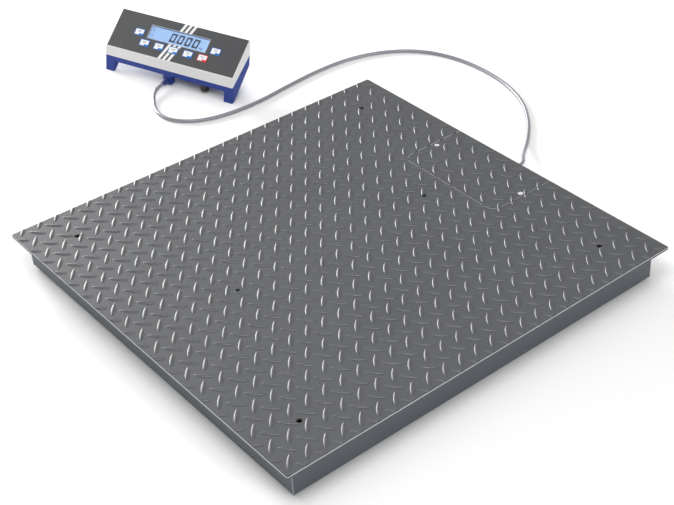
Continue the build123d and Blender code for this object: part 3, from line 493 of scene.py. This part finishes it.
cast_alloy = grained_finish("cast_alloy", shade(118, 121, 124), shade(160, 163, 166), 340.0, 0.35,
                            rough=(0.42, 0.62), Metallic=0.5)
lead_jacket = grained_finish("lead_jacket", shade(38, 39, 41), shade(58, 59, 61), 800.0, 0.2,
                             rough=(0.45, 0.6))
board_lacquer = grained_finish("board_lacquer", shade(18, 84, 44), shade(30, 116, 60), 260.0, 0.1,
                               rough=(0.25, 0.45), Coat_Weight=0.3)
clamp_plastic = grained_finish("clamp_plastic", shade(52, 120, 70), shade(70, 146, 88), 600.0, 0.1,
                               rough=(0.4, 0.55))
dress(cast_alloy, "junction_box", "junction_lid")
dress(zinc_plate, "junction_screws", "junction_glands")
dress(board_lacquer, "summing_board", "main_board")
dress(clamp_plastic, "terminal_blocks")
dress(lead_jacket, "signal_lead_inside", "lead_clips", *[f"cell_lead_{name}" for name in corner_names])


# ---------------------------------------------------------------- cable outlet and sleeves
# A plated gland in the rear channel holds the cable, and a tapered sleeve guards it at each end. The
# sleeve at the indicator is blue, as its housing is.

sleeve_rubber = grained_finish("sleeve_rubber", shade(52, 53, 58), shade(76, 77, 84), 700.0, 0.2)
blue_sleeve = grained_finish("blue_sleeve", shade(22, 36, 92), shade(34, 52, 118), 700.0, 0.2)
dress(zinc_plate, "cable_outlet")
dress(sleeve_rubber, "outlet_relief")
dress(blue_sleeve, "indicator_relief")


# ---------------------------------------------------------------- indicator housing
# Two moulded halves, a white top with a fine texture and a blue base on two hollow cheeks, screwed
# together from below. The face slopes towards the user.

white_abs = grained_finish("white_moulding", shade(208, 208, 207), shade(222, 222, 220), 1100.0, 0.18,
                           rough=(0.42, 0.55), Specular_IOR_Level=0.4)
blue_abs = grained_finish("blue_moulding", shade(20, 44, 120), shade(30, 58, 144), 1100.0, 0.2,
                          rough=(0.38, 0.52), Specular_IOR_Level=0.4)
black_abs = grained_finish("black_moulding", shade(14, 14, 15), shade(30, 30, 32), 900.0, 0.2,
                           rough=(0.35, 0.5))
dress(white_abs, "indicator_top")
dress(blue_abs, "indicator_base", "rear_stand")
dress(black_abs, "adapter_socket", "stand_pads")
dress(zinc_plate, "housing_screws")


# ---------------------------------------------------------------- overlay print
# A printed polyester sheet stuck into the face's recess: dark grey, with three even slanted stripes
# behind the keys and a light rule round the window.

indicator_turn, face_slope = radians(19.5), radians(38)
indicator_corner = Vector((-0.811108, 0.114, 0))
face_setback, face_height = 0.0150044, 0.0649905
face_across = Vector((cos(indicator_turn), sin(indicator_turn), 0))
face_back = Vector((-sin(indicator_turn), cos(indicator_turn), 0))
face_up = face_back * cos(face_slope) + Vector((0, 0, sin(face_slope)))
face_out = face_across.cross(face_up)
face_corner = indicator_corner + face_back * face_setback + Vector((0, 0, face_height))
window_a, window_b, window_half_a, window_half_b = 210.0, 70.0, 95.5, 19.25
rule_width, per_metre = 1.1, 1000.0

face_rule = bpy.data.node_groups.new("face_rule", "ShaderNodeTree")
for socket in ("Across", "Up"):
    face_rule.interface.new_socket(socket, in_out="OUTPUT", socket_type="NodeSocketFloat")
handed = face_rule.nodes.new("NodeGroupOutput")
reach = add(face_rule, "VectorMath", {0: add(face_rule, "TexCoord").outputs["Object"], 1: face_corner},
            operation="SUBTRACT").outputs[0]
for socket, way in (("Across", face_across), ("Up", face_up)):
    part = add(face_rule, "VectorMath", {0: reach, 1: way}, operation="DOT_PRODUCT").outputs["Value"]
    face_rule.links.new(work_out(face_rule, "MULTIPLY", part, per_metre), handed.inputs[socket])


def within(tree, value, middle, half):
    """One where a value is within half of the middle, else nothing."""
    return work_out(tree, "COMPARE", value, middle, half)


stripe_lean, stripe_start, stripe_pitch, stripe_count, stripe_share = 0.346, 172.0, 15.5, 3, 0.58
overlay_print, tree, shader = start_finish("overlay_print", Coat_Weight=0.25, Coat_Roughness=0.3)
rule = place_group(tree, face_rule)
texture = place_group(tree, fine_finish, Size=1600.0, Depth=0.12)
leaned = work_out(tree, "MULTIPLY_ADD", rule.outputs["Up"], -stripe_lean, rule.outputs["Across"])
stripe_run = stripe_pitch * stripe_count / 2
in_band = within(tree, leaned, stripe_start + stripe_run, stripe_run)
step_of = work_out(tree, "FRACT", work_out(tree, "DIVIDE", work_out(tree, "SUBTRACT", leaned, stripe_start),
                                           stripe_pitch))
stripes = work_out(tree, "MULTIPLY", in_band, work_out(tree, "LESS_THAN", step_of, stripe_share))
rim = work_out(tree, "MULTIPLY", within(tree, rule.outputs["Across"], window_a, window_half_a + rule_width),
               within(tree, rule.outputs["Up"], window_b, window_half_b + rule_width))
ground = between(tree, texture.outputs["Tone"], shade(54, 55, 57), shade(66, 67, 69))
striped = between(tree, stripes, ground, shade(232, 232, 230))
join(tree, shader, Base_Color=between(tree, rim, striped, shade(176, 180, 186)),
     Roughness=work_out(tree, "MULTIPLY_ADD", texture.outputs["Tone"], 0.12, 0.4),
     Normal=texture.outputs["Normal"])
dress(overlay_print, "overlay")


# ---------------------------------------------------------------- display
# A backlit liquid-crystal panel under a clear window, with a painted shadow along its top and left where the
# frame shades it.
# The digits are dark shapes on its front glass, each built of slanted segments.

top_shade, left_shade = 2.6, 1.2
backlight, tree, shader = start_finish("backlit_glass", Roughness=0.35, Emission_Strength=0.55)
rule = place_group(tree, face_rule)
cloud = add(tree, "TexNoise", {"Vector": add(tree, "TexCoord").outputs["Object"], "Scale": 14.0})
top_painted_shadow = work_out(tree, "GREATER_THAN", rule.outputs["Up"], window_b + window_half_b - top_shade)
left_painted_shadow = work_out(tree, "LESS_THAN", rule.outputs["Across"], window_a - window_half_a + left_shade)
lit = between(tree, cloud.outputs[0], shade(150, 184, 230), shade(170, 202, 240))
# Painted shadow: a darker band along the top and left of the panel, in its colour and its glow.
lit_with_painted_shadow = between(tree, work_out(tree, "MAXIMUM", top_painted_shadow, left_painted_shadow), lit, shade(84, 106, 142))
join(tree, shader, Base_Color=lit_with_painted_shadow, Emission_Color=lit_with_painted_shadow)
dress(backlight, "display_module")

window_pane, tree, shader = start_finish("clear_window", Transmission_Weight=1.0, IOR=1.46)
texture = place_group(tree, fine_finish, Size=60.0, Depth=0.02)
join(tree, shader, Base_Color=between(tree, texture.outputs["Tone"], (0.9, 0.95, 1, 1), (1, 1, 1, 1)),
     Roughness=work_out(tree, "MULTIPLY", texture.outputs["Tone"], 0.05), Normal=texture.outputs["Normal"])
dress(window_pane, "display_window")

face_frame = Matrix((face_across, face_up, face_out)).transposed().to_4x4()
face_frame.translation = face_corner
face_rule_frame = face_frame @ Matrix.Scale(1 / per_metre, 4)
digit_width, digit_height, digit_stroke, digit_lean = 18.0, 25.4, 4.8, 0.12
digit_start, digit_base, digit_pitch, digit_gap = 181.6, 55.9, 24.9, 0.6
digit_count, point_size, point_base = 4, 3.0, 1.5
print_depth, print_thickness = 3.22, 0.05
sign_across, sign_width, sign_gap = 124.0, 1.1, 2.2
signs = ((82.0, 7.0), (77.0, 5.0), (64.0, 6.0))


def bar(work, middle_a, middle_b, length, height):
    """One plain segment on the face, in millimetres."""
    bmesh.ops.create_grid(work, x_segments=1, y_segments=1, size=0.5, matrix=Matrix.Translation(
        (middle_a, middle_b, 0)) @ Matrix.Diagonal((length, height, 1, 1)))


def lay_on_face(work, depth):
    """Thickens a print modelled flat in millimetres, and lays it at a depth under the face."""
    bmesh.ops.solidify(work, geom=work.faces[:], thickness=-print_thickness)
    bmesh.ops.transform(work, verts=work.verts,
                        matrix=face_rule_frame @ Matrix.Translation((0, 0, -depth)))
    bmesh.ops.recalc_face_normals(work, faces=work.faces)


digits = bmesh.new()
half_digit = digit_height / 2
for count in range(digit_count):
    middle = digit_start + count * digit_pitch + digit_width / 2
    for side in (-1, 1):
        bar(digits, middle, digit_base + half_digit + side * (digit_height - digit_stroke) / 2,
            digit_width - 2 * digit_stroke - digit_gap, digit_stroke)
        for level_of in (-1, 1):
            bar(digits, middle + side * (digit_width - digit_stroke) / 2,
                digit_base + half_digit + level_of * (half_digit + digit_gap / 2) / 2,
                digit_stroke, half_digit - digit_gap / 2)
bar(digits, digit_start + (digit_width + digit_pitch) / 2, digit_base + point_base, point_size, point_size)
for corner in digits.verts:
    corner.co.x += (corner.co.y - digit_base) * digit_lean
for sign_up, length in signs:
    bar(digits, sign_across, sign_up, length, sign_width)
    bar(digits, sign_across, sign_up - sign_gap, length * 0.7, 1.0)
lay_on_face(digits, print_depth)
dark_crystal = grained_finish("dark_crystal", shade(16, 22, 36), shade(30, 38, 56), 400.0, 0.02,
                              rough=(0.4, 0.5))
new_piece("display_digits", digits, dark_crystal, "platform")

unit_across, unit_up = 281.5, 0.5
unit_text = bpy.data.curves.new("unit_mark", "FONT")
unit_text.body = "kg"
unit_text.size = 10.0
unit_text.extrude = 0.02
unit_text.shear = 0.2
unit_draft = bpy.data.objects.new("unit_draft", unit_text)
unit_mesh = bpy.data.meshes.new_from_object(unit_draft)
unit = bmesh.new()
unit.from_mesh(unit_mesh)
bpy.data.objects.remove(unit_draft)
bpy.data.meshes.remove(unit_mesh)
bmesh.ops.transform(unit, verts=unit.verts, matrix=face_rule_frame @ Matrix.Translation(
    (unit_across, digit_base + unit_up, -print_depth)))
new_piece("display_unit", unit, dark_crystal, "platform")


# ---------------------------------------------------------------- keys
# Seven flat keys in the overlay, printed white with a coloured border and a coloured corner. The last
# one in the row is red. Each travels half a millimetre on its plunger.

key_print = bpy.data.node_groups.new("key_print", "ShaderNodeTree")
for socket in ("Across", "Up"):
    key_print.interface.new_socket(socket, in_out="INPUT", socket_type="NodeSocketFloat")
for socket in ("Ink", "Mark"):
    key_print.interface.new_socket(socket, in_out="OUTPUT", socket_type="NodeSocketFloat")
given, handed = key_print.nodes.new("NodeGroupInput"), key_print.nodes.new("NodeGroupOutput")
rule = place_group(key_print, face_rule)
a = work_out(key_print, "SUBTRACT", rule.outputs["Across"], given.outputs["Across"])
b = work_out(key_print, "SUBTRACT", rule.outputs["Up"], given.outputs["Up"])

white_half_a, white_half_b = 13.2, 7.9
patch_left, patch_top = 0.5, -3.6
dash_pitch, dash_share, dash_half = 2.3, 0.72, 0.9
dash_middle, upper_dashes, lower_dashes = -0.5, (3.6, 7.0), (0.6, 4.8)


def both(first, second):
    """Where two masks of the key print meet."""
    return work_out(key_print, "MULTIPLY", first, second)


def dash_line(up, half):
    """One line of the key's print, before it is broken into dashes."""
    return both(within(key_print, a, dash_middle, half), within(key_print, b, up, dash_half))


border = work_out(key_print, "SUBTRACT", 1.0,
                  both(within(key_print, a, 0.0, white_half_a), within(key_print, b, 0.0, white_half_b)))
patch = both(work_out(key_print, "GREATER_THAN", a, patch_left),
             work_out(key_print, "LESS_THAN", b, patch_top))
dashes = work_out(key_print, "LESS_THAN", work_out(key_print, "FRACT", work_out(
    key_print, "DIVIDE", a, dash_pitch)), dash_share)
lines = work_out(key_print, "ADD", dash_line(*upper_dashes), dash_line(*lower_dashes))
key_print.links.new(work_out(key_print, "MAXIMUM", border, patch), handed.inputs["Ink"])
key_print.links.new(both(lines, dashes), handed.inputs["Mark"])

key_pitch, key_row_up, side_key_reach, side_key_up = 47.8, 34.5, 125.5, 61.0
blue_ink, red_ink = shade(0, 116, 204), shade(222, 26, 38)
key_places = {f"key_row_{count + 3}": (window_a + count * key_pitch, key_row_up) for count in range(-2, 3)}
key_places["key_left"] = (window_a - side_key_reach, side_key_up)
key_places["key_right"] = (window_a + side_key_reach, side_key_up)
for name, (key_across, key_up) in key_places.items():
    ink = red_ink if name == "key_row_5" else blue_ink
    made, tree, shader = start_finish(name + "_print", Coat_Weight=0.3, Coat_Roughness=0.25)
    printed = place_group(tree, key_print, Across=key_across, Up=key_up)
    texture = place_group(tree, fine_finish, Size=1600.0, Depth=0.08)
    white = between(tree, texture.outputs["Tone"], shade(232, 233, 235), shade(246, 246, 247))
    marked = between(tree, printed.outputs["Mark"], white, shade(128, 134, 146))
    join(tree, shader, Base_Color=between(tree, printed.outputs["Ink"], marked, ink),
         Roughness=work_out(tree, "MULTIPLY_ADD", texture.outputs["Tone"], 0.1, 0.38),
         Normal=texture.outputs["Normal"])
    dress(made, name)


# ---------------------------------------------------------------- studio
# A seamless white floor and four soft panels. The strongest stands low on the left, where it draws
# a bright line along every raised tear.

floor_half, paper_white, sky_strength = 14, 0.97, 0.56
floor_mesh = bpy.data.meshes.new("floor")
work = bmesh.new()
bmesh.ops.create_grid(work, x_segments=1, y_segments=1, size=floor_half)
work.to_mesh(floor_mesh)
work.free()
floor = bpy.data.objects.new("floor", floor_mesh)
bpy.context.scene.collection.objects.link(floor)
white_paper = start_finish("white_paper", Base_Color=(paper_white, paper_white, paper_white, 1),
                           Roughness=0.9)[0]
floor_mesh.materials.append(white_paper)


def soft_panel(name, place, aim, size, power):
    """One rectangular lamp behind cloth: where it stands, what it faces, its size and its watts."""
    data = bpy.data.lights.new(name, "AREA")
    data.shape = "RECTANGLE"
    data.size, data.size_y = size
    data.energy = power
    panel = bpy.data.objects.new(name, data)
    panel.rotation_mode = "QUATERNION"
    panel.location = place
    panel.rotation_quaternion = (Vector(aim) - Vector(place)).to_track_quat("-Z", "Y")
    bpy.context.scene.collection.objects.link(panel)


soft_panel("panel_left", (-6.3, -0.1, 1.9), (0.3, 0.2, 0), (4.0, 1.5), 560)
soft_panel("panel_top", (0.3, 0.3, 5.5), (0.3, 0, 0), (5.5, 5.5), 34)
soft_panel("panel_right", (6.5, 1.2, 2.6), (0.3, 0, 0), (3.6, 2.4), 120)
soft_panel("panel_near", (1.1, -0.9, 2.4), (0.8, -0.3, 0), (1.2, 1.2), 22)
world = bpy.data.worlds.new("studio")
world.use_nodes = True
world.node_tree.nodes["Background"].inputs["Color"].default_value = (1, 1, 1, 1)
world.node_tree.nodes["Background"].inputs["Strength"].default_value = sky_strength
bpy.context.scene.world = world
bpy.context.scene.view_settings.view_transform = "Standard"
